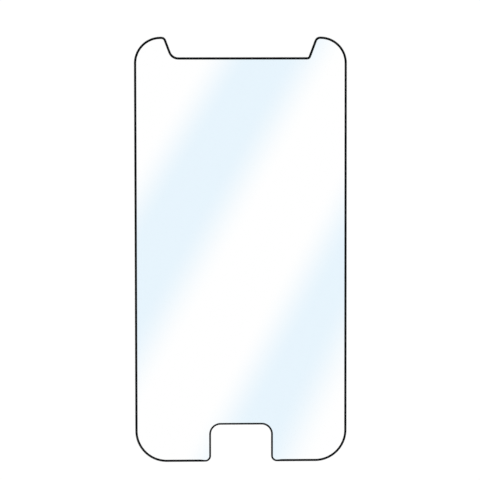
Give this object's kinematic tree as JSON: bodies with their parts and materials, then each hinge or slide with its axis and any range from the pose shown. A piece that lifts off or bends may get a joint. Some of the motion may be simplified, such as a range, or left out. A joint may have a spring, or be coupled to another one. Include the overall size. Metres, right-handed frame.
{
  "type": "phone screen protector",
  "caption": "Flat sheet of toughened glass with rounded corners, a cut-out between two ears for an earpiece and a notch for a home button.",
  "frame": {"origin": "centre of the adhesive side, on the surface that the sheet lies on", "axes": "+Z out of the outer face, +Y towards the ears and the earpiece cut-out, +X to the right as seen from above"},
  "size_m": [0.066, 0.1324, 0.0003],
  "materials": {
    "clear_glass": "polished and coated face, ground and darkened rim"
  },
  "bodies": {
    "root": {"glass": "clear_glass"}
  },
  "joints": []
}
